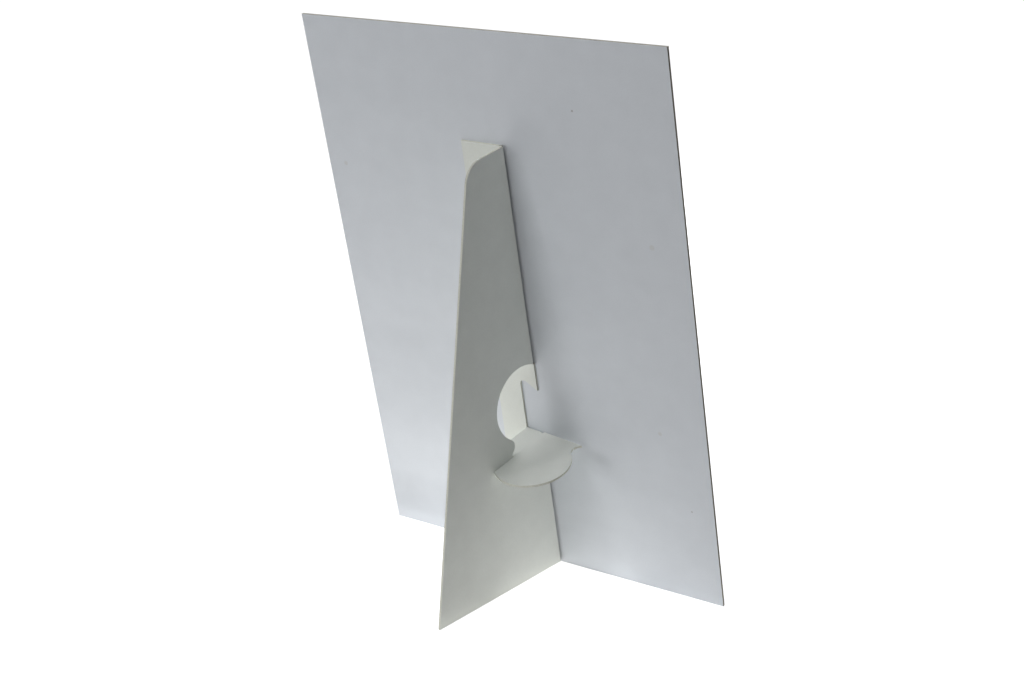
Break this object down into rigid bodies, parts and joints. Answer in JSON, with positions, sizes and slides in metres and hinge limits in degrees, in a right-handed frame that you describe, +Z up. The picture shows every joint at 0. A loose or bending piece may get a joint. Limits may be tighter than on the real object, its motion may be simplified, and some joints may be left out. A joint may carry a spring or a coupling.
{
  "type": "cardboard display stand",
  "caption": "Upright A4 display card leaning back on a folded one-wing card strut with a round-edged locking tab.",
  "frame": {"origin": "middle of the bounding box's base, on the surface that the stand rests on", "axes": "+Z up; the display card's front faces -Y and leans back 8.9 degrees; the strut's wing reaches towards +Y; +X to the right as the front is seen"},
  "size_m": [0.21, 0.0948, 0.2936],
  "materials": {
    "panel_board": "bluish white paper-faced board, smooth and matte",
    "strut_card": "warm white uncoated card, matte, with grey cut edges"
  },
  "bodies": {
    "root": {"display_panel": "panel_board", "strut": "strut_card"}
  },
  "joints": []
}
